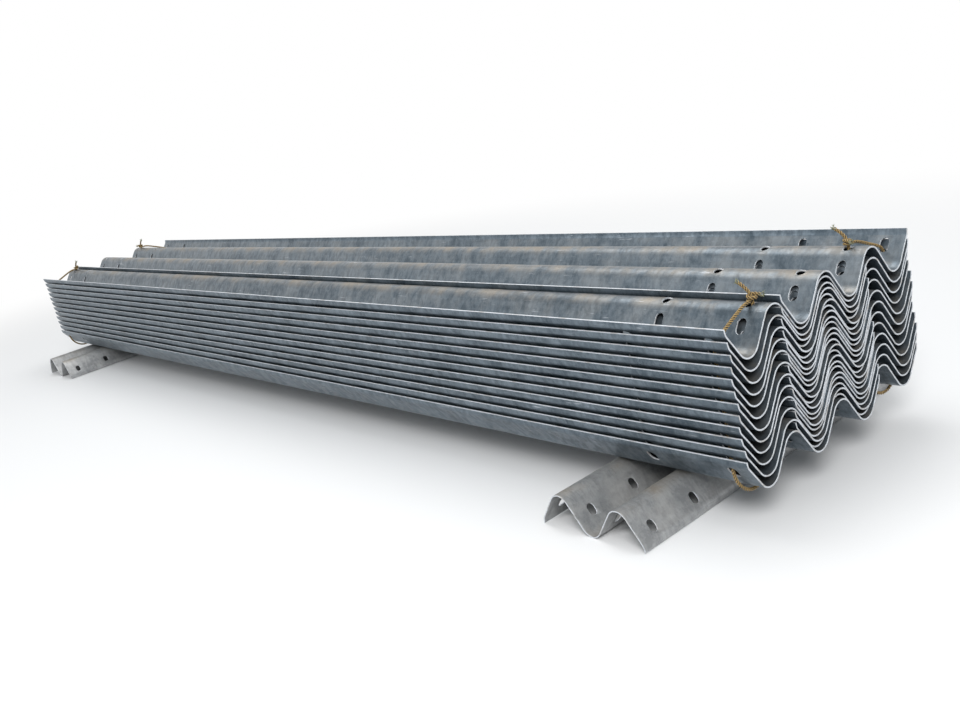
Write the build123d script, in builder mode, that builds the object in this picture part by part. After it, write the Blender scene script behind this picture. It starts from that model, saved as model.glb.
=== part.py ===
from build123d import *
from math import cos, radians, sin, sqrt, tan
import os

# Tied bundle of three-wave guardrail beams on two crosswise bearers.
# Millimetres, +Z up. The beams run along X, the bearers along Y, and the origin is
# on the floor under the middle of the bundle.

# Sheet and roll form, shared by both kinds of beam
slope_angle = 55.0
lip_angle = 80.0
lip_length = 14.0
lip_bend_radius = 10.0

# Three-wave rail
rail_length = 4320.0
rail_width = 506.0
rail_depth = 85.0
rail_edge_height = 83.0
rail_thickness = 4.0
rail_waves = 3

# Two-wave bearer
bearer_length = 1000.0
bearer_width = 310.0
bearer_depth = 85.0
bearer_edge_height = 83.0
bearer_thickness = 3.0
bearer_waves = 2
bearer_inset = 320.0

# Bolt slots, in two rows across each end of a beam: the rails have one on every slope
# and one on every crest, the bearers have one on every slope
slot_length = 36.0
slot_width = 22.0
slot_near_inset = 50.0
slot_far_inset = 268.0
bearer_slot_length = 30.0
bearer_slot_width = 20.0
bearer_slot_far_inset = 190.0
slot_height = 47.0
slot_cut_depth = 12.0

# Bundle
rail_count = 24
end_stagger = 3.0
stagger_turn = 2.4
seat_gap = 0.3

# Rope ties, each threaded down one line of slots and up another
rope_diameter = 8.0
rope_flat_count = 8
rope_bend_radius = 20.0
wrap_angle = 45.0
knot_diameter = 24.0
tail_back = 34.0
tail_rise = 42.0

slope = radians(slope_angle)
lip = radians(lip_angle)
wrap = radians(wrap_angle)
os.makedirs("parts", exist_ok=True)


def corner_rise(radius):
    """How far a slope corner stands out past the bend of this radius that rounds it."""
    return radius * (1 / cos(slope) - 1)


def bend_radius(width, depth, edge_height, thickness, waves):
    """Centre-line radius of the waves that gives the beam its overall width."""
    tip_height = edge_height - thickness / 2 - thickness / 2 * cos(lip)
    straight = 2 * (waves - 1) * (depth - thickness)
    straight += 2 * (tip_height - lip_length * sin(lip))
    lips = 2 * lip_length * cos(lip) + thickness * sin(lip)
    rise_needed = (width - lips) * tan(slope) - straight
    return rise_needed / ((4 * waves - 2) * corner_rise(1))


def wave_pitch(depth, thickness, radius):
    """Distance from one valley to the next."""
    return 2 * (depth - thickness + 2 * corner_rise(radius)) / tan(slope)


def profile_corners(width, depth, edge_height, thickness, waves, radius):
    """Sharp corners of the centre line, edges up, valleys' undersides at height 0.

    The outline's square ends stand half a thickness past the line's own ends.
    """
    pitch = wave_pitch(depth, thickness, radius)
    low = thickness / 2 - corner_rise(radius)
    high = depth - thickness / 2 + corner_rise(radius)
    tip_height = edge_height - thickness / 2 * cos(lip)
    tip_side = width / 2 - thickness / 2 * sin(lip)
    bend_side = tip_side - lip_length * cos(lip)
    bend_height = tip_height - lip_length * sin(lip)
    end_side = tip_side - thickness / 2 * cos(lip)
    end_height = tip_height - thickness / 2 * sin(lip)
    corners = [(-end_side, end_height), (-bend_side, bend_height)]
    for turn in range(2 * waves - 1):
        across = (turn - waves + 1) * pitch / 2
        corners.append((across, low if turn % 2 == 0 else high))
    corners += [(bend_side, bend_height), (end_side, end_height)]
    return corners


rail_radius = bend_radius(rail_width, rail_depth, rail_edge_height, rail_thickness, rail_waves)
rail_pitch = wave_pitch(rail_depth, rail_thickness, rail_radius)
rail_corners = profile_corners(
    rail_width, rail_depth, rail_edge_height, rail_thickness, rail_waves, rail_radius
)
bearer_radius = bend_radius(
    bearer_width, bearer_depth, bearer_edge_height, bearer_thickness, bearer_waves
)
bearer_corners = profile_corners(
    bearer_width, bearer_depth, bearer_edge_height, bearer_thickness, bearer_waves, bearer_radius
)

# Each rail lies with its outer flange on the slope below, while the upright lip of the
# rail below props the crest on the other side. Both seats together give the nest's
# step in height and how far it falls short of a whole wave sideways.
last_valley = (rail_waves - 1) * rail_pitch / 2
lip_corner_side = rail_corners[-1][0] + rail_thickness / 2 * (cos(lip) - sin(lip)) - last_valley
lip_corner_height = rail_corners[-1][1] + rail_thickness / 2 * (cos(lip) + sin(lip))
prop_radius = rail_radius - rail_thickness / 2 - seat_gap
prop_side = rail_pitch / 2 - lip_corner_side + (rail_thickness + seat_gap) / sin(slope)
prop_height = rail_depth - rail_thickness / 2 - rail_radius - lip_corner_height
prop_square = 1 + 1 / tan(slope) ** 2
prop_linear = prop_height - prop_side / tan(slope)
prop_rest = prop_side**2 + prop_height**2 - prop_radius**2
nest_step = (-prop_linear - sqrt(prop_linear**2 - prop_square * prop_rest)) / prop_square
nest_slip = (nest_step * cos(slope) - rail_thickness - seat_gap) / sin(slope)
rail_floor = bearer_depth + seat_gap


def rail_place(number):
    """Lengthwise, sideways and height place of a rail, counted from 1 at the bottom."""
    along = end_stagger * sin(stagger_turn * number)
    side = (rail_pitch - nest_slip) / 2
    if number % 2 == 1:
        side = -side
    return along, side, rail_floor + (number - 1) * nest_step


def profile_section(corners, radius, thickness):
    """Sheet outline across a beam, as a sketch."""
    with BuildSketch() as section:
        with BuildLine():
            waves = [radius] * (len(corners) - 4)
            FilletPolyline(*corners, radius=[lip_bend_radius, *waves, lip_bend_radius])
            offset(amount=thickness / 2, side=Side.BOTH, kind=Kind.INTERSECTION)
        make_face()
    return section.sketch


def slope_slots(corners):
    """Places of the slots on the slopes across the sheet: side, height and slope angle."""
    reach = (slot_height - corners[2][1]) / tan(slope)
    slots = []
    for valley in corners[2:-2:2]:
        slots.append((valley[0] - reach, slot_height, -slope_angle))
        slots.append((valley[0] + reach, slot_height, slope_angle))
    return slots


def crest_slots(corners, depth):
    """Places of the slots on the crests across the sheet."""
    return [(crest[0], depth, 0) for crest in corners[3:-3:2]]


def end_rows(length, *insets):
    """Lengthwise places of the slot rows at both ends of a beam."""
    rows = []
    for inset in insets:
        rows += [inset - length / 2, length / 2 - inset]
    return rows


rail_section = profile_section(rail_corners, rail_radius, rail_thickness)
bearer_section = profile_section(bearer_corners, bearer_radius, bearer_thickness)
rail_slopes = slope_slots(rail_corners)
rail_crests = crest_slots(rail_corners, rail_depth)
bearer_slopes = slope_slots(bearer_corners)

# Rails, nested from the bottom up. Each has the slots that its two ties run through. The
# whole outer wave is slotted in the last rail but one, and every wave in the top rail.
for number in range(1, rail_count + 1):
    along, side, height = rail_place(number)
    if number == rail_count:
        slots = rail_slopes + rail_crests
        rows = end_rows(rail_length, slot_near_inset, slot_far_inset)
    elif number == rail_count - 1:
        slots = [rail_slopes[0], rail_slopes[1], rail_crests[0]]
        if number % 2 == 0:
            slots = [rail_slopes[-1], rail_slopes[-2], rail_crests[-1]]
        rows = end_rows(rail_length, slot_near_inset, slot_far_inset)
    else:
        slots = [rail_slopes[0], rail_crests[0]]
        if number % 2 == 0:
            slots = [rail_slopes[-1], rail_crests[-1]]
        rows = end_rows(rail_length, slot_near_inset)
    with BuildPart() as rail:
        with BuildSketch(Plane((along, side, height), x_dir=(0, 1, 0), z_dir=(1, 0, 0))):
            add(rail_section)
        extrude(amount=rail_length / 2, both=True)
        for across, middle, angle in slots:
            facing = (0, -sin(radians(angle)), cos(radians(angle)))
            place = (along, side + across, height + middle)
            with BuildSketch(Plane(place, x_dir=(1, 0, 0), z_dir=facing)):
                with Locations(*[(row, 0) for row in rows]):
                    SlotOverall(slot_length, slot_width, rotation=90)
            extrude(amount=slot_cut_depth, both=True, mode=Mode.SUBTRACT)
    rail.part.label = f"rail_{number:02d}"
    export_step(rail.part, f"parts/rail_{number:02d}.step")

# Bearers across the bundle, crests up, one under each end
for name, end in (("front", 1), ("back", -1)):
    middle = end * (rail_length / 2 - bearer_inset)
    rows = end_rows(bearer_length, slot_near_inset, bearer_slot_far_inset)
    with BuildPart() as bearer:
        with BuildSketch(Plane((middle, 0, bearer_depth), x_dir=(-1, 0, 0), z_dir=(0, -1, 0))):
            add(bearer_section)
        extrude(amount=bearer_length / 2, both=True)
        for across, up, angle in bearer_slopes:
            facing = (-sin(radians(angle)), 0, cos(radians(angle)))
            place = (middle - across, 0, bearer_depth - up)
            with BuildSketch(Plane(place, x_dir=(0, 1, 0), z_dir=facing)):
                with Locations(*[(row, 0) for row in rows]):
                    SlotOverall(bearer_slot_length, bearer_slot_width, rotation=90)
            extrude(amount=slot_cut_depth, both=True, mode=Mode.SUBTRACT)
    bearer.part.label = f"bearer_{name}"
    export_step(bearer.part, f"parts/bearer_{name}.step")

# Each tie hangs from its knot in the top rail's crest slot, runs down the crest slots,
# under the lowest rail's outer valley and up the flange slots back to the knot.
rope_off = rope_diameter / 2 + seat_gap
wrap_radius = rail_radius + rail_thickness / 2 + rope_off
knot_seat = slot_width / 2 - end_stagger
knot_lift = sqrt((knot_diameter / 2 + seat_gap) ** 2 - knot_seat**2)


def tie_route(first, last):
    """Tie's corners in side and height, seen from the side that its rails lean to."""
    side = -abs(rail_place(first)[1])
    low = rail_place(first)[2]
    high = rail_place(last)[2]
    down = side + rail_crests[0][0]
    up = side + rail_slopes[0][0]
    knot = high + rail_depth + knot_lift
    centre = low + rail_thickness / 2 + rail_radius
    reach = wrap_radius / cos((slope + wrap) / 2)
    corner_side = side - last_valley + reach * sin((wrap - slope) / 2)
    corner_height = centre - reach * cos((wrap - slope) / 2)
    return [
        (down, knot - knot_diameter / 4),
        (down, corner_height + (down - corner_side) * tan(wrap)),
        (corner_side, corner_height),
        (up, corner_height + (corner_side - up) * tan(slope)),
        (up, high + slot_height),
        (down, knot),
    ]


for name, end in (("front", 1), ("back", -1)):
    row = end * (rail_length / 2 - slot_near_inset)
    for hand, sign, first in (("left", 1, 1), ("right", -1, 2)):
        last = rail_count - (rail_count - first) % 2
        route = [(sign * across, up) for across, up in tie_route(first, last)]
        knot_side, knot_height = route[-1]
        tail = [
            (row, knot_side, knot_height),
            (row - end * tail_back / 4, knot_side, knot_height + tail_rise / 2),
            (row - end * tail_back, knot_side, knot_height + tail_rise),
        ]
        with BuildPart() as tie:
            with BuildLine(Plane((row, 0, 0), x_dir=(0, 1, 0), z_dir=(1, 0, 0))):
                bends = [rope_bend_radius, wrap_radius, rope_bend_radius, rope_bend_radius]
                FilletPolyline(*route, radius=bends)
            with BuildSketch(Plane((row, *route[0]))):
                RegularPolygon(rope_diameter / 2, rope_flat_count)
            sweep()
            with BuildLine():
                FilletPolyline(*tail, radius=rope_bend_radius)
            rise = Vector(*tail[1]) - Vector(*tail[0])
            with BuildSketch(Plane(tail[0], z_dir=rise)):
                RegularPolygon(rope_diameter / 2, rope_flat_count)
            sweep()
            with Locations((row, knot_side, knot_height)):
                Sphere(knot_diameter / 2)
        tie.part.label = f"tie_{name}_{hand}"
        export_step(tie.part, f"parts/tie_{name}_{hand}.step")
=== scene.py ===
import math
import random

import bpy
from bpy.props import FloatProperty, FloatVectorProperty, PointerProperty
from mathutils import Matrix, Vector, noise


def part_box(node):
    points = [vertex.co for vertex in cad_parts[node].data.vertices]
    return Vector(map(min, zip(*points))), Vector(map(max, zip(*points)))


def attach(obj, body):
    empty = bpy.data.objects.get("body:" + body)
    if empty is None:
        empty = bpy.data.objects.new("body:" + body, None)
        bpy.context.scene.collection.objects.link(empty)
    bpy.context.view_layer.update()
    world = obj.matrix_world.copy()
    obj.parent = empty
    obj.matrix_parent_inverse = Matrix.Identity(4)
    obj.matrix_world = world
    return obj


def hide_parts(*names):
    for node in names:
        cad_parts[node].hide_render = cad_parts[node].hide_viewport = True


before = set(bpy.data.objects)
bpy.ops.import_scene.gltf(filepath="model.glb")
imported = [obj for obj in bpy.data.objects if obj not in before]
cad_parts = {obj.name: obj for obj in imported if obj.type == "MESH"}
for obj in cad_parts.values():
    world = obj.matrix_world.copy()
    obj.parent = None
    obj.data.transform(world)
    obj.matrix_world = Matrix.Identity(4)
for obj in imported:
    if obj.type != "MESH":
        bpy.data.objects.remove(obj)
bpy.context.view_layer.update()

bl_info = {
    "name": "Tied bundle of three-wave guardrail beams",
    "version": (1, 0, 0),
    "blender": (4, 5, 0),
    "location": "View3D > Sidebar > Guardrail bundle",
    "description": "Dresses the nested beams, their bearers and rope ties, and sets the studio",
    "category": "Object",
}

# Make-up of the bundle: waves across a beam, length and width of a bearer's slots, how far
# its rows of slots are from its end, the ends' sign along X, and -1 for the mirrored side
RAIL_COUNT = 24
RAIL_WAVES = 3
BEARER_WAVES = 2
BEARER_SLOT = (0.030, 0.020)
BEARER_ROWS = (0.05, 0.19)
ENDS = (("front", 1), ("back", -1))
SIDES = (("left", 1), ("right", -1))

# Grid of a sheet: steps along it and round its bends, the narrow band at each cut end, and
# the room round a slot across the sheet and along it
LENGTH_STEP = 0.24
BEND_STEP = 0.0062
END_BAND = 0.006
SLOT_ROOM = (0.006, 0.011)
SLOT_ROUND_PARTS = 8
TINY = 1e-6

# Unevenness of a sheet: eased edges as a share of the thickness, the outward lean of a free
# lip and how far down it starts, the waver of the cut ends and the lift of the faces, with
# how fast these three change, per metre
EDGE_EASE = 0.13
LIP_BOW = 0.0014
LIP_BOW_REACH = 0.045
LIP_BOW_RATE = 1.3
END_WAVER = 0.0006
END_WAVER_RATE = 90
FACE_LIFT = 0.00014
FACE_LIFT_RATE = 160
SHARP_ANGLE = math.radians(32)

# Lumps of zinc on the cut edges: their size, the share on the lengthwise edges and how many of
# these lie near an end, and the height and width of their rings as shares of the size
LUMPS = 90
LUMP_SIZE = (0.0007, 0.0015)
LUMPS_LENGTHWISE = 0.75
LUMPS_NEAR_END = 0.7
LUMP_SIDES = 7
LUMP_RINGS = ((-0.7, 0.72), (0.0, 1.0), (0.7, 0.72))

# Amount of dust on the crests
RAIL_DUST = 0.8
TOP_RAIL_DUST = 1.0
BEARER_DUST = 0.9

# Make of the rope: strands, their radius as a share of its diameter, the yarns wound round
# each, how far from its ends they open, and the loose fibres there
STRANDS = 3
STRAND_SHARE = 0.231
STRAND_SIDES = 9
STEPS_PER_TURN = 14
YARNS = 7
YARN_LAY = 0.0042
FRAY_REACH = 0.011
HAIRS = 9
HAIR_REACH = (0.003, 0.0065)
HAIR_STATIONS = (0, 0.35, 0.7, 1)
HAIR_RADII = (0.00042, 0.00036, 0.00028, 0.00012)
HAIR_FRAY = (0.7, 0.8, 0.9, 1.0)
HAIR_SIDES = 4

# Knot: its height over the crest, and the turns that it winds with their radius and rise
KNOT_LIFT = 0.0093
KNOT_TURNS = 1.5
KNOT_POINTS = 12
KNOT_REACH = 0.0083
KNOT_RISE = 0.0085

# Studio: the floor keeps its shade up to the fade and is white beyond it; each lamp has a
# name, a place, a point it aims at, a size and a power
WHITE = (1.0, 1.0, 1.0, 1.0)
SKY_TINT = (0.93, 0.97, 1.0, 1.0)
FLOOR_REACH = 30.0
FLOOR_CORNERS = ((-1, -1), (1, -1), (1, 1), (-1, 1))
FADE_START = 1.3
FADE_END = 3.4
FADE_STRETCH = (0.62, 1.0, 1.0)
LAMPS = (
    ("key_lamp", (5.0, -3.0, 4.0), (0.9, 0, 0.2), 2.6, 250.0),
    ("top_lamp", (-0.5, 0.8, 5.2), (0, 0, 0.3), 4.5, 170.0),
    ("side_lamp", (-3.2, -5.5, 2.6), (-0.6, 0, 0.2), 3.0, 60.0),
)
CAMERA_PLACE = (3.38, -1.83, 1.04)
CAMERA_AIM = (0.91, 0.0, 0.15)


class SheetSettings(bpy.types.PropertyGroup):
    """Sizes and colours of the rolled steel sheet."""

    rail_length: FloatProperty(
        name="Rail length", description="Length of a three-wave rail",
        default=4.320, unit="LENGTH")
    rail_width: FloatProperty(
        name="Rail width", description="Overall width of a rail", default=0.506, unit="LENGTH")
    rail_depth: FloatProperty(
        name="Depth", description="Height of a rail or a bearer over its waves",
        default=0.085, unit="LENGTH")
    rail_thickness: FloatProperty(
        name="Rail sheet", description="Thickness of a rail's sheet", default=0.004, unit="LENGTH")
    bearer_length: FloatProperty(
        name="Bearer length", description="Length of a two-wave bearer",
        default=1.000, unit="LENGTH")
    bearer_width: FloatProperty(
        name="Bearer width", description="Overall width of a bearer", default=0.310, unit="LENGTH")
    bearer_thickness: FloatProperty(
        name="Bearer sheet", description="Thickness of a bearer's sheet",
        default=0.003, unit="LENGTH")
    edge_height: FloatProperty(
        name="Edge height", description="Height of the outer edges over the valleys",
        default=0.083, unit="LENGTH")
    slope_angle: FloatProperty(
        name="Slope", description="Angle of the waves' slopes",
        default=math.radians(55), subtype="ANGLE")
    lip_angle: FloatProperty(
        name="Lip", description="Angle of the upright lips", default=math.radians(80),
        subtype="ANGLE")
    lip_length: FloatProperty(
        name="Lip length", description="Length of the upright lips", default=0.014, unit="LENGTH")
    lip_bend: FloatProperty(
        name="Lip bend", description="Radius where a lip turns up", default=0.010, unit="LENGTH")
    slot_length: FloatProperty(
        name="Slot length", description="Length of a bolt slot across the rail",
        default=0.036, unit="LENGTH")
    slot_width: FloatProperty(
        name="Slot width", description="Width of a bolt slot", default=0.022, unit="LENGTH")
    slot_height: FloatProperty(
        name="Slot height", description="Height of the slope slots over the valleys",
        default=0.047, unit="LENGTH")
    row_near: FloatProperty(
        name="First row", description="Distance of the first slot row from the end",
        default=0.050, unit="LENGTH")
    row_far: FloatProperty(
        name="Second row", description="Distance of the second slot row from the end",
        default=0.268, unit="LENGTH")
    # The rails' dull and clear tones hold the zinc's own mottle and painted shade: both are darker
    # and bluer than the bearers' zinc, as zinc lying in shade.
    zinc_dull_with_painted_shade: FloatVectorProperty(
        name="Zinc, dull", description="Dull parts of the galvanised face",
        default=(0.055, 0.078, 0.099), subtype="COLOR", min=0, max=1)
    zinc_clear_with_painted_shade: FloatVectorProperty(
        name="Zinc, clear", description="Clear parts of the galvanised face",
        default=(0.182, 0.222, 0.257), subtype="COLOR", min=0, max=1)
    bearer_dark: FloatVectorProperty(
        name="Bearer, dull", description="Dull parts of the bearers' weathered zinc",
        default=(0.245, 0.251, 0.256), subtype="COLOR", min=0, max=1)
    bearer_light: FloatVectorProperty(
        name="Bearer, clear", description="Clear parts of the bearers' weathered zinc",
        default=(0.480, 0.487, 0.488), subtype="COLOR", min=0, max=1)
    dust: FloatVectorProperty(
        name="Dust", description="Dust that lies on the crests",
        default=(0.24, 0.20, 0.15), subtype="COLOR", min=0, max=1)
    # Partly the bright zinc of the cut edges and slot rims, partly painted light: they are made
    # lighter, as edges lit from the sky.
    cut_edge_with_painted_light: FloatVectorProperty(
        name="Cut edge", description="Bright zinc on cut edges and slot rims",
        default=(0.66, 0.69, 0.73), subtype="COLOR", min=0, max=1)


class RopeSettings(bpy.types.PropertyGroup):
    """Sizes and colours of the rope ties."""

    diameter: FloatProperty(
        name="Rope", description="Diameter of the twisted rope", default=0.008, unit="LENGTH")
    lay: FloatProperty(
        name="Lay", description="Length of one turn of the strands", default=0.022, unit="LENGTH")
    straw: FloatVectorProperty(
        name="Straw", description="Lit side of the strands",
        default=(0.66, 0.44, 0.15), subtype="COLOR", min=0, max=1)
    # Painted shade: the dark colour laid in the grooves between the yarns and between the strands.
    painted_groove_shade: FloatVectorProperty(
        name="Groove", description="Dirt between the yarns",
        default=(0.045, 0.024, 0.009), subtype="COLOR", min=0, max=1)
    fray: FloatVectorProperty(
        name="Frayed end", description="Weathered fibres at the loose ends",
        default=(0.30, 0.34, 0.22), subtype="COLOR", min=0, max=1)


class StageSettings(bpy.types.PropertyGroup):
    """Camera and light."""

    lens: FloatProperty(
        name="Lens", description="Focal length on a 36 mm wide sensor",
        default=38.4, unit="CAMERA")
    roll: FloatProperty(
        name="Roll", description="Tilt of the camera about its view axis",
        default=math.radians(13), subtype="ANGLE")
    floor: FloatVectorProperty(
        name="Floor", description="Pale studio floor", default=(0.80, 0.80, 0.80),
        subtype="COLOR", min=0, max=1)
    sky: FloatProperty(
        name="Soft light", description="Strength of the light from all round",
        default=0.50, min=0)


# Forms of the rolled sheet


class RollLine:
    """Centre line of a rolled sheet across its length: straight runs joined by bends.

    A run holds the distances where it begins and ends, its first point and direction, and
    its radius and signed turn, which are 0 for a straight one.
    """

    def __init__(self, corners, radii):
        self.runs = []
        self.length = 0.0
        start = Vector(corners[0])
        for index, radius in enumerate(radii, 1):
            before, here, after = (Vector(corners[index + k]) for k in (-1, 0, 1))
            into = (here - before).normalized()
            out = (after - here).normalized()
            turn = math.atan2(into.cross(out), into.dot(out))
            reach = radius * math.tan(abs(turn) / 2)
            bend_start = here - into * reach
            self._straight(start, bend_start)
            self._run(radius * abs(turn), bend_start, into, radius, turn)
            start = here + out * reach
        self._straight(start, Vector(corners[-1]))

    def _straight(self, start, end):
        size = (end - start).length
        self._run(size, start, (end - start) / size, 0.0, 0.0)

    def _run(self, size, start, into, radius, turn):
        self.runs.append((self.length, self.length + size, start, into, radius, turn))
        self.length += size

    def at(self, s):
        """Point and upward normal at a distance along the line."""
        begin, _, start, into, radius, turn = next(
            (run for run in self.runs if s <= run[1]), self.runs[-1])
        if radius == 0.0:
            point, direction = start + into * (s - begin), into
        else:
            angle = (s - begin) / radius
            left = Vector((-into.y, into.x)) * math.copysign(1.0, turn)
            point = start + into * (radius * math.sin(angle))
            point += left * (radius * (1 - math.cos(angle)))
            direction = into * math.cos(angle) + left * math.sin(angle)
        return point, Vector((-direction.y, direction.x))

    def nearest(self, across, up):
        """Distance along the line of the straight run's point nearest to a place."""
        place = Vector((across, up))
        best = None
        for begin, end, start, into, radius, _ in self.runs:
            if radius == 0.0:
                reach = min(max((place - start).dot(into), 0.0), end - begin)
                gap = (start + into * reach - place).length
                if best is None or gap < best[0]:
                    best = (gap, begin + reach)
        return best[1]

    def crests(self):
        """Distances along the line of the crests, the middles of the bends that turn down."""
        return [(begin + end) / 2 for begin, end, _, _, _, turn in self.runs if turn < 0]


def corner_rise(radius, slope):
    """How far a wave's bend stays short of the corner where its slopes would meet."""
    return radius * (1 / math.cos(slope) - 1)


def wave_form(settings, width, thickness, waves):
    """Roll line of a beam with its edges up, and where its slope and crest slots are on it.

    The radius of the bends is the one at which slopes, bends and lips add up to the width.
    """
    slope, lip = settings.slope_angle, settings.lip_angle
    depth, edge, reach = settings.rail_depth, settings.edge_height, settings.lip_length
    tip = edge - thickness / 2 - thickness / 2 * math.cos(lip)
    straight = 2 * (waves - 1) * (depth - thickness) + 2 * (tip - reach * math.sin(lip))
    lips = 2 * reach * math.cos(lip) + thickness * math.sin(lip)
    rise = (width - lips) * math.tan(slope) - straight
    radius = rise / ((4 * (waves - 1) + 2) * corner_rise(1.0, slope))
    pitch = 2 * (depth - thickness + 2 * corner_rise(radius, slope)) / math.tan(slope)
    low = thickness / 2 - corner_rise(radius, slope)
    high = depth - thickness / 2 + corner_rise(radius, slope)
    tip_height = edge - thickness / 2 * math.cos(lip)
    tip_side = width / 2 - thickness / 2 * math.sin(lip)
    bend_side = tip_side - reach * math.cos(lip)
    bend_height = tip_height - reach * math.sin(lip)
    corners = [(-tip_side, tip_height), (-bend_side, bend_height)]
    bends = 2 * waves - 1
    for turn in range(bends):
        corners.append(((turn - waves + 1) * pitch / 2, low if turn % 2 == 0 else high))
    corners += [(bend_side, bend_height), (tip_side, tip_height)]
    line = RollLine(corners, [settings.lip_bend, *[radius] * bends, settings.lip_bend])
    across = (settings.slot_height - low) / math.tan(slope)
    slopes = [
        line.nearest(valley + side * across, settings.slot_height)
        for valley, _ in corners[2:-2:2] for side in (-1, 1)]
    return line, slopes, line.crests()


def box_middle(name, level):
    """Middle of a node's box in X and Y, and its lowest level (0) or its highest (1)."""
    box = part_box(name)
    return (box[0][0] + box[1][0]) / 2, (box[0][1] + box[1][1]) / 2, box[level][2]


def slot_places(length, rows, distances):
    """Middles of the slots: rows from both ends, at the given distances along the line."""
    lengthwise = [end * (length / 2 - row) for end in (-1, 1) for row in rows]
    return [(u, s) for u in lengthwise for s in distances]


def spread(marks, step):
    """The marks in order, with evenly spaced values between them where they are far apart."""
    marks = sorted(marks)
    values = [marks[0]]
    for before, after in zip(marks, marks[1:]):
        if after - before < TINY:
            continue
        parts = max(1, math.ceil((after - before) / step - TINY))
        values += [before + (after - before) * k / parts for k in range(1, parts + 1)]
    return values


def index_span(values, middle, room):
    """Where in a rising list the values nearest to both ends of a stretch are."""
    return [
        min(range(len(values)), key=lambda k: abs(values[k] - (middle + side * room)))
        for side in (-1, 1)]


def slot_outline(length, width, grow):
    """Loop of a slot that is long across the sheet, counter-clockwise from lengthwise +."""
    radius = width / 2 + grow
    half = (length - width) / 2
    loop = []
    for end in (1, -1):
        for k in range(SLOT_ROUND_PARTS + 1):
            angle = math.pi * k / SLOT_ROUND_PARTS + (0 if end == 1 else math.pi)
            loop.append((radius * math.cos(angle), end * half + radius * math.sin(angle)))
        loop.append((-end * radius, 0.0))
    return loop


def bridge(outer, inner, places, centre):
    """Triangles between two loops of point numbers that go round the same centre."""
    def bearing(index):
        u, s = places[index]
        return math.atan2(s - centre[1], u - centre[0]) % math.tau

    outer = sorted(outer, key=bearing)
    inner = sorted(inner, key=bearing)
    steps_out = [bearing(i) for i in outer] + [math.tau + bearing(outer[0])]
    steps_in = [bearing(i) for i in inner] + [math.tau + bearing(inner[0])]
    ring_out, ring_in = outer + outer[:1], inner + inner[:1]
    faces, a, b = [], 0, 0
    while a < len(outer) or b < len(inner):
        if b == len(inner) or (a < len(outer) and steps_out[a + 1] <= steps_in[b + 1]):
            faces.append((ring_in[b], ring_out[a], ring_out[a + 1]))
            a += 1
        else:
            faces.append((ring_in[b], ring_out[a], ring_in[b + 1]))
            b += 1
    return faces, inner


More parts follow.
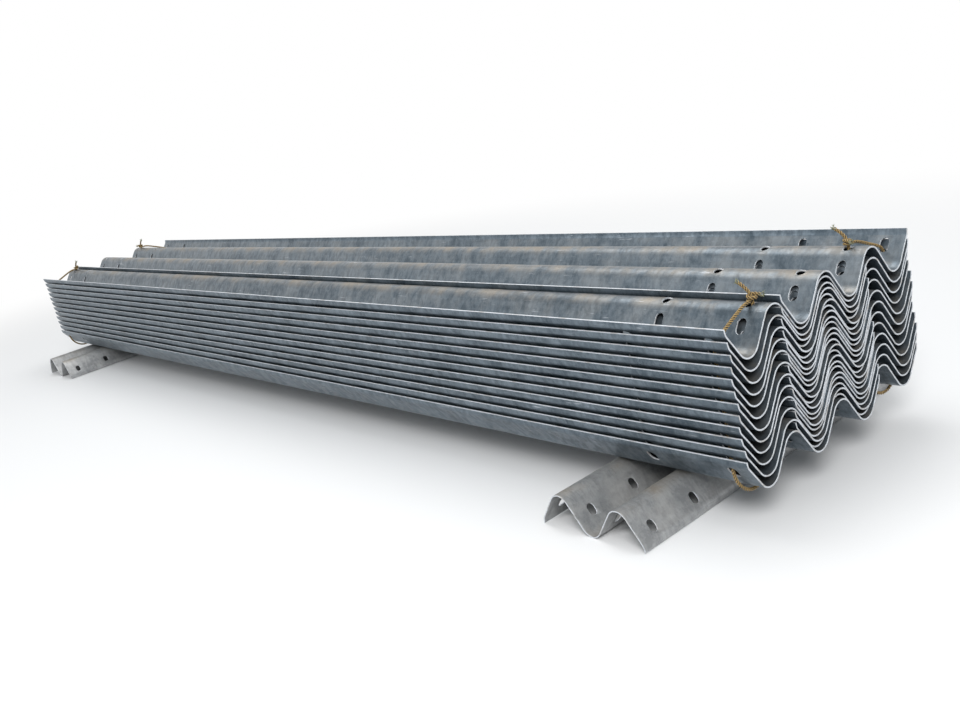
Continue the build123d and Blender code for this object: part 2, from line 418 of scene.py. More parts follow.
class SheetBuilder:
    """Builds a rolled sheet with slots and eased, slightly uneven cut edges.

    u is a distance lengthwise from the middle, and s one along the roll line. settle turns
    (u, point across and up) into a place in the frame. free_lip is -1 or 1 for the lip that
    leans out a little, more here and less there, or 0 for none. rim is how near an edge a
    point counts as on it.
    """

    def __init__(self, line, length, thickness, settle, seed, free_lip):
        self.line, self.length, self.thickness = line, length, thickness
        self.settle, self.seed, self.free_lip = settle, seed, free_lip
        self.ease = thickness * EDGE_EASE
        self.rim = 1.5 * self.ease
        self.places, self.faces = [], []
        self.walls, self.loops = {}, []

    def cut(self, slots, slot_size):
        """Lay out one side as a grid that ends at the outer edge and at the slots' rims."""
        width, ease = self.line.length, self.ease
        room_s, room_u = (size / 2 + room for size, room in zip(slot_size, SLOT_ROOM))
        marks_u = {
            end * (self.length / 2 - inset) for end in (-1, 1) for inset in (ease, END_BAND)}
        marks_s = {ease, width - ease} | {run[1] for run in self.line.runs}
        marks_s = {s for s in marks_s if ease <= s <= width - ease}
        for u, s in slots:
            marks_u |= {u - room_u, u + room_u}
            marks_s |= {s - room_s, s + room_s}
        us, ss = spread(marks_u, LENGTH_STEP), spread(marks_s, BEND_STEP)
        blocks = [
            (u, s, *index_span(us, u, room_u), *index_span(ss, s, room_s)) for u, s in slots]
        inside, skipped = set(), set()
        for _, _, u0, u1, s0, s1 in blocks:
            inside |= {(i, j) for i in range(u0 + 1, u1) for j in range(s0 + 1, s1)}
            skipped |= {(i, j) for i in range(u0, u1) for j in range(s0, s1)}
        number = {}
        for i, u in enumerate(us):
            for j, s in enumerate(ss):
                if (i, j) not in inside:
                    number[i, j] = len(self.places)
                    self.places.append((u, s))
        last_i, last_j = len(us) - 1, len(ss) - 1
        self.faces = [
            (number[i, j], number[i + 1, j], number[i + 1, j + 1], number[i, j + 1])
            for i in range(last_i) for j in range(last_j) if (i, j) not in skipped]
        for u, s, u0, u1, s0, s1 in blocks:
            border = [number[i, j] for i in range(u0, u1 + 1) for j in range(s0, s1 + 1)
                      if i in (u0, u1) or j in (s0, s1)]
            self._rim(u, s, border, slot_size)
        edge = [number[i, 0] for i in range(last_i)] + [number[last_i, j] for j in range(last_j)]
        edge += [number[i, last_j] for i in range(last_i, 0, -1)]
        edge += [number[0, j] for j in range(last_j, 0, -1)]
        self._outer_edge(edge)

    def _rim(self, u, s, border, slot_size):
        """Fill the ring between a block's border and its slot, and note the slot's wall."""
        rim = []
        eased = slot_outline(*slot_size, self.ease)
        for (a, b), (c, d) in zip(eased, slot_outline(*slot_size, 0.0)):
            rim.append(len(self.places))
            self.walls[len(self.places)] = (u + c, s + d)
            self.places.append((u + a, s + b))
        ring, rim = bridge(border, rim, self.places, (u, s))
        self.faces += ring
        self.loops.append(rim[::-1])

    def _outer_edge(self, edge):
        """Note where the cut face lies beyond each point of the outer edge."""
        width = self.line.length
        for index in edge:
            u, s = self.places[index]
            if self._at_end(u):
                u = math.copysign(self.length / 2, u)
            if s < self.rim or s > width - self.rim:
                s = 0.0 if s < width / 2 else width
            self.walls[index] = (u, s)
        self.loops.append(edge)

    def _at_end(self, u):
        return abs(u) > self.length / 2 - self.rim

    def _shape(self, u, s):
        """Point across and up, and upward normal, with the lean of the free lip."""
        point, normal = self.line.at(s)
        away = s if self.free_lip < 0 else self.line.length - s
        lean = 0.5 + 0.8 * noise.noise((u * LIP_BOW_RATE, self.seed * 2.3, 0.5))
        lean = min(max(lean, 0.0), 1.0) * max(0.0, 1 - away / LIP_BOW_REACH)
        return point + Vector((self.free_lip * LIP_BOW * lean, 0.0)), normal

    def _vertex(self, u, s, off):
        """Place in the frame of a point that lies off the centre line by a distance."""
        point, normal = self._shape(u, s)
        uneven = 0.0
        if self._at_end(u):
            probe = (s * END_WAVER_RATE, math.copysign(7.0, u), self.seed * 3.7)
            uneven = -math.copysign(END_WAVER * (0.5 + 0.5 * noise.noise(probe)), u)
        probe = (u * FACE_LIFT_RATE, s * FACE_LIFT_RATE, self.seed * 5.1 + off * 900)
        lift = FACE_LIFT * noise.noise(probe)
        return self.settle(u + uneven, point + normal * (off + lift))

    def mesh(self, name, dust):
        """Mesh of both sides, the cut edges between them and the lumps of zinc on these."""
        half, total, count = self.thickness / 2, len(self.places), len(self.walls)
        vertices = []
        for spots, off in (
                (self.places, half - FACE_LIFT), (self.places, FACE_LIFT - half),
                (self.walls.values(), half - self.ease), (self.walls.values(), self.ease - half)):
            vertices += [self._vertex(u, s, off) for u, s in spots]
        wall = {index: 2 * total + k for k, index in enumerate(self.walls)}
        sides = self.faces + [tuple(total + k for k in reversed(face)) for face in self.faces]
        edges = []
        for loop in self.loops:
            for here, there in zip(loop, loop[1:] + loop[:1]):
                near = (here, wall[here], wall[here] + count, here + total)
                far = (there, wall[there], wall[there] + count, there + total)
                edges += [(near[k + 1], far[k + 1], far[k], near[k]) for k in range(3)]
        edges += self._lumps(vertices)
        mesh = bpy.data.meshes.new(name)
        mesh.from_pydata(vertices, [], sides + edges)
        mesh.polygons.foreach_set("material_index", [0] * len(sides) + [1] * len(edges))
        for title, value in (("sheet_tone", self.seed * 0.618 % 1.0), ("sheet_dust", dust)):
            mesh.attributes.new(title, "FLOAT", "POINT").data.foreach_set(
                "value", [value] * len(vertices))
        mesh.shade_smooth()
        mesh.set_sharp_from_angle(angle=SHARP_ANGLE)
        mesh.validate()
        return mesh

    def _lumps(self, vertices):
        """Add small lumps of zinc along the outer edge, most of them near the ends."""
        rng = random.Random(self.seed)
        faces = []
        for _ in range(LUMPS):
            size = rng.uniform(*LUMP_SIZE)
            off = rng.uniform(-0.7, 0.7) * (self.thickness / 2 - size * 0.6)
            end = rng.choice((-1, 1))
            long = rng.uniform(1.2, 2.6)
            if rng.random() < LUMPS_LENGTHWISE:
                near_end = rng.random() < LUMPS_NEAR_END
                away = 0.005 + (rng.random() ** 2 * 0.6 if near_end else rng.random() * 2)
                u = end * max(self.length / 2 - away, 0.0)
                s = rng.choice((size * 0.75, self.line.length - size * 0.75))
                reach = (long, 0.8)
            else:
                u = end * (self.length / 2 - size * 0.9)
                s = rng.uniform(0.01, self.line.length - 0.01)
                reach = (0.8, long)
            faces += self._lump(vertices, u, s, off, size, reach)
        return faces

    def _lump(self, vertices, u, s, off, size, reach):
        """Add one small closed lump that sits in a cut edge and return its faces."""
        first, sides = len(vertices), LUMP_SIDES
        point, normal = self._shape(u, s)
        along = Vector((normal.y, -normal.x))

        def place(du, ds, dn):
            return self.settle(u + du, point + along * ds + normal * (off + dn))

        vertices.append(place(0, 0, -size))
        for height, share in LUMP_RINGS:
            for k in range(sides):
                angle = math.tau * k / sides
                vertices.append(place(
                    size * share * reach[0] * math.cos(angle),
                    size * share * reach[1] * math.sin(angle), size * height))
        vertices.append(place(0, 0, size))
        last = len(vertices) - 1
        faces = []
        for k in range(sides):
            after = (k + 1) % sides
            faces.append((first, first + 1 + after, first + 1 + k))
            for ring in range(len(LUMP_RINGS) - 1):
                low = first + 1 + sides * ring
                faces.append((low + k, low + after, low + sides + after, low + sides + k))
            faces.append((last, last - sides + k, last - sides + after))
        return faces


def add_piece(name, mesh, finishes, slot, *nodes):
    """Put a mesh in the scene in place of the plain solids that it dresses."""
    for finish in finishes:
        mesh.materials.append(finish)
    piece = bpy.data.objects.new(name, mesh)
    bpy.context.scene.collection.objects.link(piece)
    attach(piece, "root")
    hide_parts(*nodes)


# Finishes


def add_node(tree, kind, sockets=None, **settings):
    """Add a shader node; a socket takes a value or the output that feeds it."""
    made = tree.nodes.new(kind)
    for key, value in settings.items():
        setattr(made, key, value)
    for key, value in (sockets or {}).items():
        if isinstance(value, bpy.types.NodeSocket):
            tree.links.new(value, made.inputs[key])
        else:
            made.inputs[key].default_value = value
    return made


def new_finish(name):
    """New material with its node tree and shader."""
    material = bpy.data.materials.new(name)
    material.use_nodes = True
    tree = material.node_tree
    return material, tree, tree.nodes["Principled BSDF"]


def calc(tree, operation, *values):
    """Result of a sum on one or two numbers."""
    return add_node(
        tree, "ShaderNodeMath", dict(enumerate(values)), operation=operation).outputs[0]


def span(tree, value, low, high, to_low=0.0, to_high=1.0):
    """Value between low and high turned into one between two others, and held there."""
    return add_node(tree, "ShaderNodeMapRange", {
        "Value": value, "From Min": low, "From Max": high,
        "To Min": to_low, "To Max": to_high}).outputs["Result"]


def mottle(tree, place, scale, detail, roughness, distortion=0.0):
    """Smooth random value at a place, mostly between 0.3 and 0.7."""
    return add_node(tree, "ShaderNodeTexNoise", {
        "Vector": place, "Scale": scale, "Detail": detail, "Roughness": roughness,
        "Distortion": distortion}).outputs["Fac"]


def carried(tree, title):
    """Value that the mesh carries under a name."""
    return add_node(tree, "ShaderNodeAttribute", attribute_name=title).outputs["Fac"]


def mix_colour(tree, share, *colours):
    """Blend of two colours, or of two values."""
    sockets = {0: share}
    for key, value in zip((6, 7), colours):
        fed = isinstance(value, bpy.types.NodeSocket)
        sockets[key] = value if fed else (*value[:3], 1.0)
    return add_node(tree, "ShaderNodeMix", sockets, data_type="RGBA").outputs[2]


def feed_shader(tree, shader, colour, height, strength):
    """Give the shader its colour, and a fine relief from a height."""
    bump = add_node(tree, "ShaderNodeBump", {
        "Strength": strength, "Distance": 0.0006, "Height": height})
    tree.links.new(colour, shader.inputs["Base Color"])
    tree.links.new(bump.outputs["Normal"], shader.inputs["Normal"])


def object_place(tree):
    """Place on the piece, which all finishes go by."""
    return add_node(tree, "ShaderNodeTexCoord").outputs["Object"]


def sheet_place(tree, stretch=(1.0, 1.0, 1.0)):
    """Place on the piece, shifted from sheet to sheet and stretched along an axis."""
    shift = add_node(tree, "ShaderNodeVectorMath", {
        0: (3.1, 5.7, 9.3), "Scale": carried(tree, "sheet_tone")}, operation="SCALE")
    moved = add_node(tree, "ShaderNodeVectorMath", {
        0: object_place(tree), 1: shift.outputs[0]}, operation="ADD")
    return add_node(tree, "ShaderNodeVectorMath", {
        0: moved.outputs[0], 1: stretch}, operation="MULTIPLY").outputs[0]


def zinc_finish(name, settings, tones, streak, fleck, metal, rough_range):
    """Galvanised sheet: clouds, flecks, crystals, rolling streaks, scuffs, and dust on top.

    tones are its dull and clear colour. streak and fleck squeeze the streaks and the flecks
    along the axes of the frame, so that they lie along the sheet and across it.
    """
    material, tree, shader = new_finish(name)
    plain, drawn, crossed = sheet_place(tree), sheet_place(tree, streak), sheet_place(tree, fleck)
    clouds = mottle(tree, plain, 11.0, 7.0, 0.62)
    lines = mottle(tree, drawn, 34.0, 5.0, 0.7)
    grain = mottle(tree, plain, 240.0, 3.0, 0.6)
    flecks = mottle(tree, crossed, 62.0, 4.0, 0.68, 0.4)
    scratches = mottle(tree, drawn, 120.0, 5.0, 0.75, 0.6)
    scuffs = mottle(tree, plain, 26.0, 2.0, 0.5)
    cells = add_node(tree, "ShaderNodeTexVoronoi", {"Vector": plain, "Scale": 95.0})
    crystals = add_node(
        tree, "ShaderNodeSeparateColor", {"Color": cells.outputs["Color"]}).outputs["Red"]
    share = span(tree, clouds, 0.34, 0.68)
    for part, low, high, reach in (
            (lines, 0.30, 0.70, 0.22), (crystals, 0.0, 1.0, 0.16),
            (carried(tree, "sheet_tone"), 0.0, 1.0, 0.16), (grain, 0.3, 0.7, 0.14),
            (flecks, 0.40, 0.60, 0.24)):
        share = calc(tree, "ADD", share, span(tree, part, low, high, -reach, reach))
    colour = mix_colour(tree, span(tree, share, -0.2, 1.2), *tones)
    facing = add_node(tree, "ShaderNodeNewGeometry").outputs["Normal"]
    upward = add_node(tree, "ShaderNodeSeparateXYZ", {"Vector": facing}).outputs["Z"]
    patchy = span(tree, clouds, 0.42, 0.62, 0.12, 0.75)
    dusty = calc(tree, "MULTIPLY", span(tree, upward, 0.45, 0.95), patchy)
    dusty = calc(tree, "MULTIPLY", dusty, carried(tree, "sheet_dust"))
    colour = mix_colour(tree, dusty, colour, settings.dust)
    # Rubbed scuffs take the cut edges' colour, which is partly painted light.
    rubbed = calc(
        tree, "MULTIPLY", span(tree, scratches, 0.60, 0.70), span(tree, scuffs, 0.52, 0.64))
    colour = mix_colour(tree, span(tree, rubbed, 0.0, 1.0, 0.0, 0.6), colour, settings.cut_edge_with_painted_light)
    shader.inputs["Metallic"].default_value = metal
    rough = calc(
        tree, "ADD", span(tree, clouds, 0.3, 0.7, *rough_range),
        span(tree, flecks, 0.40, 0.60, 0.06, -0.06))
    tree.links.new(rough, shader.inputs["Roughness"])
    feed_shader(tree, shader, colour, mix_colour(tree, 0.35, grain, clouds), 0.35)
    return material


def cut_edge_finish(settings):
    """Cut edges and slot rims: bright, a little lumpy zinc with faint stains; part of the
    brightness is painted light, as on edges lit from the sky.
    """
    material, tree, shader = new_finish("cut_edge_zinc")
    plain = sheet_place(tree)
    lumps = mottle(tree, plain, 420.0, 4.0, 0.65)
    stains = mottle(tree, plain, 38.0, 4.0, 0.6)
    bright = settings.cut_edge_with_painted_light
    dull = tuple(channel * 0.66 for channel in bright)
    colour = mix_colour(tree, span(tree, lumps, 0.35, 0.65), dull, bright)
    colour = mix_colour(tree, span(tree, stains, 0.50, 0.70, 0.0, 0.6), colour, settings.dust)
    shader.inputs["Metallic"].default_value = 0.15
    tree.links.new(span(tree, lumps, 0.3, 0.7, 0.42, 0.62), shader.inputs["Roughness"])
    feed_shader(tree, shader, colour, lumps, 0.5)
    return material


def rope_finish(settings):
    """Twisted straw-coloured rope: yarns wind round each strand, with painted shade in the grooves
    between the yarns and where each strand faces the rope's core.
    """
    material, tree, shader = new_finish("twisted_rope")
    turns = add_node(tree, "ShaderNodeUVMap", uv_map="yarns").outputs["UV"]
    parts = add_node(tree, "ShaderNodeSeparateXYZ", {"Vector": turns})
    wound = calc(tree, "MULTIPLY", parts.outputs["X"], math.tau * YARNS)
    along = calc(tree, "MULTIPLY", parts.outputs["Y"], math.tau / YARN_LAY)
    ridge = calc(tree, "SINE", calc(tree, "ADD", wound, along))
    place = object_place(tree)
    fibres = mottle(tree, place, 900.0, 4.0, 0.7)
    wear = mottle(tree, place, 60.0, 4.0, 0.6)
    # Painted shade: the colour goes to the dark groove colour where the yarn ridges dip and where a
    # strand faces the rope's core.
    share = calc(
        tree, "ADD", span(tree, ridge, -1.0, 0.6, 0.0, 0.8),
        span(tree, fibres, 0.3, 0.7, -0.2, 0.35))
    share = calc(tree, "SUBTRACT", share, carried(tree, "painted_groove_shade"))
    colour = mix_colour(tree, span(tree, share, 0.0, 1.0), settings.painted_groove_shade, settings.straw)
    dull = tuple(0.45 * channel for channel in settings.straw)
    colour = mix_colour(tree, span(tree, wear, 0.5, 0.75, 0.0, 0.5), colour, dull)
    colour = mix_colour(tree, carried(tree, "fray"), colour, settings.fray)
    shader.inputs["Roughness"].default_value = 0.8
    shader.inputs["Sheen Weight"].default_value = 0.15
    height = calc(tree, "ADD", span(tree, ridge, -1.0, 1.0), fibres)
    feed_shader(tree, shader, colour, height, 0.8)
    return material


def seen_ray(tree):
    """1 for what the camera sees straight, in a reflection or through glass."""
    path = add_node(tree, "ShaderNodeLightPath").outputs
    glossy = calc(tree, "MAXIMUM", path["Is Camera Ray"], path["Is Glossy Ray"])
    return calc(tree, "MAXIMUM", glossy, path["Is Transmission Ray"])


def floor_finish(stage):
    """Pale floor that keeps the shadow near the bundle and turns white further out."""
    material, tree, shader = new_finish("studio_floor")
    shader.inputs["Base Color"].default_value = (*stage.floor, 1.0)
    shader.inputs["Roughness"].default_value = 0.9
    shader.inputs["Specular IOR Level"].default_value = 0.1
    squeezed = add_node(tree, "ShaderNodeVectorMath", {
        0: object_place(tree), 1: FADE_STRETCH}, operation="MULTIPLY")
    away = add_node(tree, "ShaderNodeVectorMath", {0: squeezed.outputs[0]}, operation="LENGTH")
    far = add_node(tree, "ShaderNodeMapRange", {
        "Value": away.outputs["Value"], "From Min": FADE_START, "From Max": FADE_END},
        interpolation_type="SMOOTHSTEP")
    white = add_node(tree, "ShaderNodeEmission", {"Color": WHITE})
    share = calc(tree, "MULTIPLY", far.outputs["Result"], seen_ray(tree))
    blend = add_node(tree, "ShaderNodeMixShader", {
        0: share, 1: shader.outputs[0], 2: white.outputs[0]})
    tree.links.new(blend.outputs[0], tree.nodes["Material Output"].inputs["Surface"])
    return material


# Rope


def route_line(name, points):
    """Points of a smooth line through the route's control points, read from its spline."""
    curve = bpy.data.curves.new(name, "CURVE")
    curve.dimensions = "3D"
    curve.resolution_u = 16
    spline = curve.splines.new("NURBS")
    spline.points.add(len(points) - 1)
    for control, place in zip(spline.points, points):
        control.co = (*place, 1.0)
    spline.use_endpoint_u = True
    spline.order_u = 3
    holder = bpy.data.objects.new(name, curve)
    bpy.context.scene.collection.objects.link(holder)
    bpy.context.view_layer.update()
    drawn = bpy.data.meshes.new_from_object(holder)
    line = [vertex.co.copy() for vertex in drawn.vertices]
    bpy.data.objects.remove(holder)
    bpy.data.curves.remove(curve)
    bpy.data.meshes.remove(drawn)
    return line


def even_steps(line, step):
    """Points at equal distances along a line of points, and its length."""
    reach = [0.0]
    for before, after in zip(line, line[1:]):
        reach.append(reach[-1] + (after - before).length)
    count = max(2, round(reach[-1] / step))
    points, k = [], 0
    for index in range(count + 1):
        wanted = reach[-1] * index / count
        while k < len(line) - 2 and reach[k + 1] < wanted:
            k += 1
        share = (wanted - reach[k]) / max(reach[k + 1] - reach[k], TINY)
        points.append(line[k].lerp(line[k + 1], min(share, 1.0)))
    return points, reach[-1]


def carried_frames(points):
    """Two cross directions at each point, carried along without twist."""
    frames = []
    tangent = (points[1] - points[0]).normalized()
    side = tangent.orthogonal().normalized()
    for index in range(len(points)):
        before = points[max(index - 1, 0)]
        after = points[min(index + 1, len(points) - 1)]
        fresh = (after - before).normalized()
        side = (tangent.rotation_difference(fresh) @ side).normalized()
        tangent = fresh
        frames.append((side, tangent.cross(side)))
    return frames


class RopeBuilder:
    """Collects strands and loose fibres of one rope in a single mesh."""

    def __init__(self):
        self.vertices, self.faces, self.uvs = [], [], []
        self.painted_groove_shade, self.fray = [], []

    def tube(self, centres, frames, radii, sides, fray, core=None):
        """Add a closed tube, with painted shade where it faces core, the rope's own line."""
        first = len(self.vertices)
        travelled = 0.0
        reach = []
        for index, centre in enumerate(centres):
            if index:
                travelled += (centre - centres[index - 1]).length
            reach.append(travelled)
            side, up = frames[index]
            for k in range(sides):
                angle = math.tau * k / sides
                arm = side * math.cos(angle) + up * math.sin(angle)
                self.vertices.append(centre + arm * radii[index])
                # Painted shade: a share that rises where the strand faces the rope's core.
                inward_shade = 0.0
                if core is not None:
                    toward = (core[index] - centre).normalized()
                    inward_shade = max(0.0, arm.dot(toward) + 0.5) * 1.35
                self.painted_groove_shade.append(inward_shade)
                self.fray.append(fray[index])
        for index in range(len(centres) - 1):
            for k in range(sides):
                a, b = first + index * sides + k, first + index * sides + (k + 1) % sides
                self.faces.append((a, b, b + sides, a + sides))
                low, high = k / sides, (k + 1) / sides
                self.uvs += [(low, reach[index]), (high, reach[index]),
                             (high, reach[index + 1]), (low, reach[index + 1])]
        self.faces.append(tuple(first + k for k in reversed(range(sides))))
        self.uvs += [(0.0, 0.0)] * sides
        top = first + (len(centres) - 1) * sides
        self.faces.append(tuple(top + k for k in range(sides)))
        self.uvs += [(0.0, travelled)] * sides

    def mesh(self, name):
        """Mesh of all the tubes, with the values that the rope's finish goes by."""
        mesh = bpy.data.meshes.new(name)
        mesh.from_pydata(self.vertices, [], self.faces)
        mesh.uv_layers.new(name="yarns").data.foreach_set(
            "uv", [value for pair in self.uvs for value in pair])
        for title, values in (("painted_groove_shade", self.painted_groove_shade), ("fray", self.fray)):
            mesh.attributes.new(title, "FLOAT", "POINT").data.foreach_set("value", values)
        mesh.shade_smooth()
        return mesh


def lay_rope(builder, points, settings, rng):
    """Wind the strands round a line, opening them at both ends, and add the loose fibres."""
    strand = settings.diameter * STRAND_SHARE
    throw = settings.diameter / 2 - strand
    steps, length = even_steps(points, settings.lay / STEPS_PER_TURN)
    frames = carried_frames(steps)
    start_angle = rng.uniform(0, math.tau)
    tips = []
    for k in range(STRANDS):
        centres, radii, fray = [], [], []
        for index, point in enumerate(steps):
            travelled = length * index / (len(steps) - 1)
            from_end = min(travelled, length - travelled)
            opening = max(0.0, 1 - from_end / FRAY_REACH)
            angle = start_angle + math.tau * (travelled / settings.lay + k / STRANDS)
            side, up = frames[index]
            out = side * math.cos(angle) + up * math.sin(angle)
            centres.append(point + out * throw * (1 + opening ** 1.5))
            wobble = 1 + 0.05 * noise.noise((travelled * 300, k * 9.1, start_angle))
            radii.append(strand * wobble * (1 - 0.35 * opening))
            fray.append(opening * 0.8)
        builder.tube(centres, frames, radii, STRAND_SIDES, fray, core=steps)
        tips.append((centres[0], (centres[0] - centres[3]).normalized()))
        tips.append((centres[-1], (centres[-1] - centres[-4]).normalized()))
    for tip, heading in tips:
        for _ in range(HAIRS):
            aside = Vector([rng.uniform(-1, 1) for _ in range(3)])
            aim = (heading + 0.75 * aside).normalized()
            bend = Vector([rng.uniform(-1, 1) for _ in range(3)]) * 0.25
            reach = rng.uniform(*HAIR_REACH)
            origin = tip - heading * 0.002 + aside * strand * 0.45
            hair = [origin + aim * reach * t + bend * reach * t * t for t in HAIR_STATIONS]
            builder.tube(hair, carried_frames(hair), HAIR_RADII, HAIR_SIDES, HAIR_FRAY)


def tie_route(sheet, end, sign):
    """Control points of one tie, given in metres from the slots it runs through.

    It starts at its loose end, goes down a line of crest slots, round the lowest valley, up a
    line of slope slots and over the top, and ends in the turns of the knot.
    """
    first, last = (1, RAIL_COUNT - 1) if sign == 1 else (2, RAIL_COUNT)
    line, slopes, crests = wave_form(sheet, sheet.rail_width, sheet.rail_thickness, RAIL_WAVES)
    row = end * (sheet.rail_length / 2 - sheet.row_near)
    _, middle, low = box_middle(f"rail_{first:02d}", 0)
    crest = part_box(f"rail_{last:02d}")[0][2] + sheet.rail_depth
    down = middle + sign * line.at(crests[0])[0].x
    up = middle + sign * line.at(slopes[0])[0].x
    knot = crest + KNOT_LIFT
    route = [(row - end * 0.034, down, knot + 0.035), (row - end * 0.0095, down, knot + 0.020)]
    route += [(row, across, height) for across, height in (
        (down, knot), (down, knot - 0.048), (down, low + 0.080), (down, low + 0.032),
        (down - 0.034 * sign, low - 0.001), (down - 0.074 * sign, low - 0.020),
        (down - 0.113 * sign, low - 0.010), (up - 0.003 * sign, low + 0.030),
        (up, low + 0.090), (up, crest - 0.090), (up, crest - 0.043),
        (up + 0.048 * sign, crest - 0.022), (down - 0.030 * sign, crest + 0.004))]
    for k in range(int(KNOT_TURNS * KNOT_POINTS) + 1):
        angle = math.pi + math.tau * k / KNOT_POINTS
        route.append((
            row + KNOT_REACH * math.sin(angle) * end,
            down + KNOT_REACH * math.cos(angle) * sign,
            knot - 0.0055 + KNOT_RISE * k / KNOT_POINTS))
    route.append((row + end * 0.018, down + 0.014 * sign, knot + 0.004))
    return route


# Operators


class BUNDLE_OT_lay_rails(bpy.types.Operator):
    """Build the nested three-wave rails with their slots, in place of the plain solids"""

    bl_idname = "bundle.lay_rails"
    bl_label = "Lay the rails"

    def execute(self, context):
        sheet = context.scene.bundle_sheet
        line, slopes, crests = wave_form(sheet, sheet.rail_width, sheet.rail_thickness, RAIL_WAVES)
        # The rails' tones carry painted shade, darker and bluer than the bearers'.
        face = zinc_finish(
            "galvanised_rail", sheet, (sheet.zinc_dull_with_painted_shade, sheet.zinc_clear_with_painted_shade),
            streak=(0.05, 1.0, 1.0), fleck=(1.0, 0.45, 0.45), metal=0.7, rough_range=(0.30, 0.50))
        finishes = (face, cut_edge_finish(sheet))
        slots = slot_places(sheet.rail_length, (sheet.row_near, sheet.row_far), slopes + crests)
        for number in range(1, RAIL_COUNT + 1):
            name = f"rail_{number:02d}"
            x, y, z = box_middle(name, 0)

            def settle(u, point, x=x, y=y, z=z):
                return (x + u, y + point.x, z + point.y)

            free_lip = -1 if number % 2 else 1
            builder = SheetBuilder(
                line, sheet.rail_length, sheet.rail_thickness, settle, number, free_lip)
            builder.cut(slots, (sheet.slot_length, sheet.slot_width))
            dust = TOP_RAIL_DUST if number > RAIL_COUNT - 2 else RAIL_DUST
            mesh = builder.mesh(name + "_sheet", dust)
            add_piece(name + "_dressed", mesh, finishes, "rail_zinc", name)
        return {"FINISHED"}


class BUNDLE_OT_set_bearers(bpy.types.Operator):
    """Build the two crosswise two-wave bearers under the ends of the bundle"""

    bl_idname = "bundle.set_bearers"
    bl_label = "Set the bearers"

    def execute(self, context):
        sheet = context.scene.bundle_sheet
        line, slopes, _ = wave_form(sheet, sheet.bearer_width, sheet.bearer_thickness, BEARER_WAVES)
        face = zinc_finish(
            "galvanised_bearer", sheet, (sheet.bearer_dark, sheet.bearer_light),
            streak=(1.0, 0.05, 1.0), fleck=(0.45, 1.0, 0.45), metal=0.5, rough_range=(0.40, 0.56))
        finishes = (face, bpy.data.materials["cut_edge_zinc"])
        slots = slot_places(sheet.bearer_length, BEARER_ROWS, slopes)
        for name, seed in (("bearer_front", 31), ("bearer_back", 32)):
            x, y, z = box_middle(name, 1)

            def settle(u, point, x=x, y=y, z=z):
                return (x - point.x, y - u, z - point.y)

            builder = SheetBuilder(
                line, sheet.bearer_length, sheet.bearer_thickness, settle, seed, 0)
            builder.cut(slots, BEARER_SLOT)
            mesh = builder.mesh(name + "_sheet", BEARER_DUST)
            mesh.flip_normals()
            add_piece(name + "_dressed", mesh, finishes, "bearer_zinc", name)
        return {"FINISHED"}


class BUNDLE_OT_thread_ties(bpy.types.Operator):
    """Thread the four rope ties through the slots and knot them on top"""

    bl_idname = "bundle.thread_ties"
    bl_label = "Thread the ties"

    def execute(self, context):
        rope, sheet = context.scene.bundle_rope, context.scene.bundle_sheet
        finish = rope_finish(rope)
        for name, end in ENDS:
            for side, sign in SIDES:
                node = f"tie_{name}_{side}"
                line = route_line(node + "_route", tie_route(sheet, end, sign))
                builder = RopeBuilder()
                lay_rope(builder, line, rope, random.Random(node))
                mesh = builder.mesh(node + "_rope")
                add_piece(node + "_rope", mesh, [finish], "rope", node)
        return {"FINISHED"}


def add_floor(scene, stage):
    """Wide floor under the bundle."""
    mesh = bpy.data.meshes.new("studio_floor")
    corners = [(x * FLOOR_REACH, y * FLOOR_REACH, 0) for x, y in FLOOR_CORNERS]
    mesh.from_pydata(corners, [], [(0, 1, 2, 3)])
    floor = bpy.data.objects.new("studio_floor", mesh)
    scene.collection.objects.link(floor)
    mesh.materials.append(floor_finish(stage))


def add_sky(scene, stage):
    """Soft light from all round, in front of a white background."""
    world = bpy.data.worlds.new("studio_world")
    scene.world = world
    world.use_nodes = True
    tree = world.node_tree
    tree.nodes.clear()
    soft = add_node(tree, "ShaderNodeBackground", {"Color": SKY_TINT, "Strength": stage.sky})
    white = add_node(tree, "ShaderNodeBackground", {"Color": WHITE})
    blend = add_node(tree, "ShaderNodeMixShader", {
        0: seen_ray(tree), 1: soft.outputs[0], 2: white.outputs[0]})
    add_node(tree, "ShaderNodeOutputWorld", {"Surface": blend.outputs[0]})


def add_lamps(scene):
    """Square lamps, each aimed at its point."""
    for title, place, aim, size, power in LAMPS:
        light = bpy.data.lights.new(title, "AREA")
        light.shape = "SQUARE"
        light.size = size
        light.energy = power
        lamp = bpy.data.objects.new(title, light)
        lamp.location = place
        lamp.rotation_euler = (Vector(aim) - Vector(place)).to_track_quat("-Z", "Y").to_euler()
        scene.collection.objects.link(lamp)


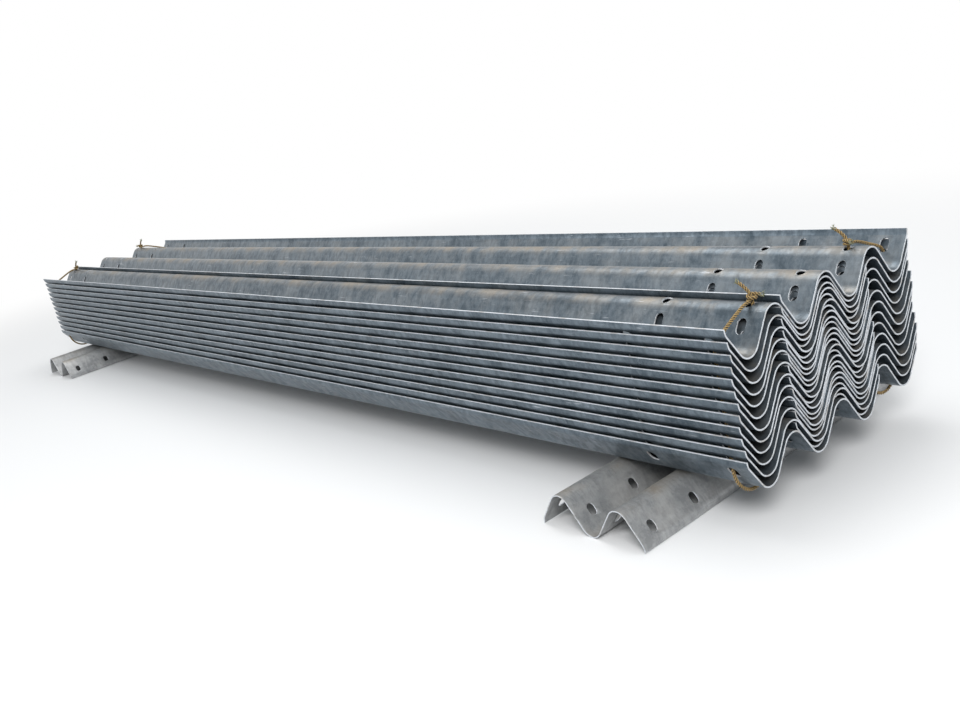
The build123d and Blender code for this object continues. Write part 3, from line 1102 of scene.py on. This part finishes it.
def add_camera(scene, stage):
    """Camera at the photograph's viewing angle, tilted about its view axis."""
    camera = bpy.data.cameras.new("photo_camera")
    camera.lens = stage.lens
    camera.sensor_width = 36.0
    camera.clip_start, camera.clip_end = 0.05, 100.0
    holder = bpy.data.objects.new("photo_camera", camera)
    scene.collection.objects.link(holder)
    place = Vector(CAMERA_PLACE)
    ahead = (Vector(CAMERA_AIM) - place).normalized()
    right = ahead.cross(Vector((0, 0, 1))).normalized()
    upright = right.cross(ahead)
    tilted = upright * math.cos(stage.roll) + right * math.sin(stage.roll)
    across = ahead.cross(tilted)
    turn = Matrix((across, tilted, -ahead)).transposed().to_4x4()
    holder.matrix_world = Matrix.Translation(place) @ turn
    scene.camera = holder


class BUNDLE_OT_set_stage(bpy.types.Operator):
    """Set the floor, the backdrop, the lamps and the camera"""

    bl_idname = "bundle.set_stage"
    bl_label = "Set the stage"

    def execute(self, context):
        scene, stage = context.scene, context.scene.bundle_stage
        add_floor(scene, stage)
        add_sky(scene, stage)
        add_lamps(scene)
        add_camera(scene, stage)
        scene.view_settings.view_transform = "Standard"
        return {"FINISHED"}


class BUNDLE_PT_sidebar(bpy.types.Panel):
    """Lists the steps of the bundle"""

    bl_idname = "BUNDLE_PT_sidebar"
    bl_label = "Guardrail bundle"
    bl_space_type = "VIEW_3D"
    bl_region_type = "UI"
    bl_category = "Guardrail bundle"

    def draw(self, context):
        for step in STEPS:
            self.layout.operator(step.bl_idname)


STEPS = (
    BUNDLE_OT_lay_rails, BUNDLE_OT_set_bearers, BUNDLE_OT_thread_ties, BUNDLE_OT_set_stage,
)
GROUPS = (
    ("bundle_sheet", SheetSettings), ("bundle_rope", RopeSettings), ("bundle_stage", StageSettings),
)


def register():
    for name, group in GROUPS:
        bpy.utils.register_class(group)
        setattr(bpy.types.Scene, name, PointerProperty(type=group))
    for step in (*STEPS, BUNDLE_PT_sidebar):
        bpy.utils.register_class(step)


def unregister():
    for step in (BUNDLE_PT_sidebar, *reversed(STEPS)):
        bpy.utils.unregister_class(step)
    for name, group in reversed(GROUPS):
        delattr(bpy.types.Scene, name)
        bpy.utils.unregister_class(group)


def main():
    register()
    bpy.ops.bundle.lay_rails()
    bpy.ops.bundle.set_bearers()
    bpy.ops.bundle.thread_ties()
    bpy.ops.bundle.set_stage()


if __name__ == "__main__":
    main()
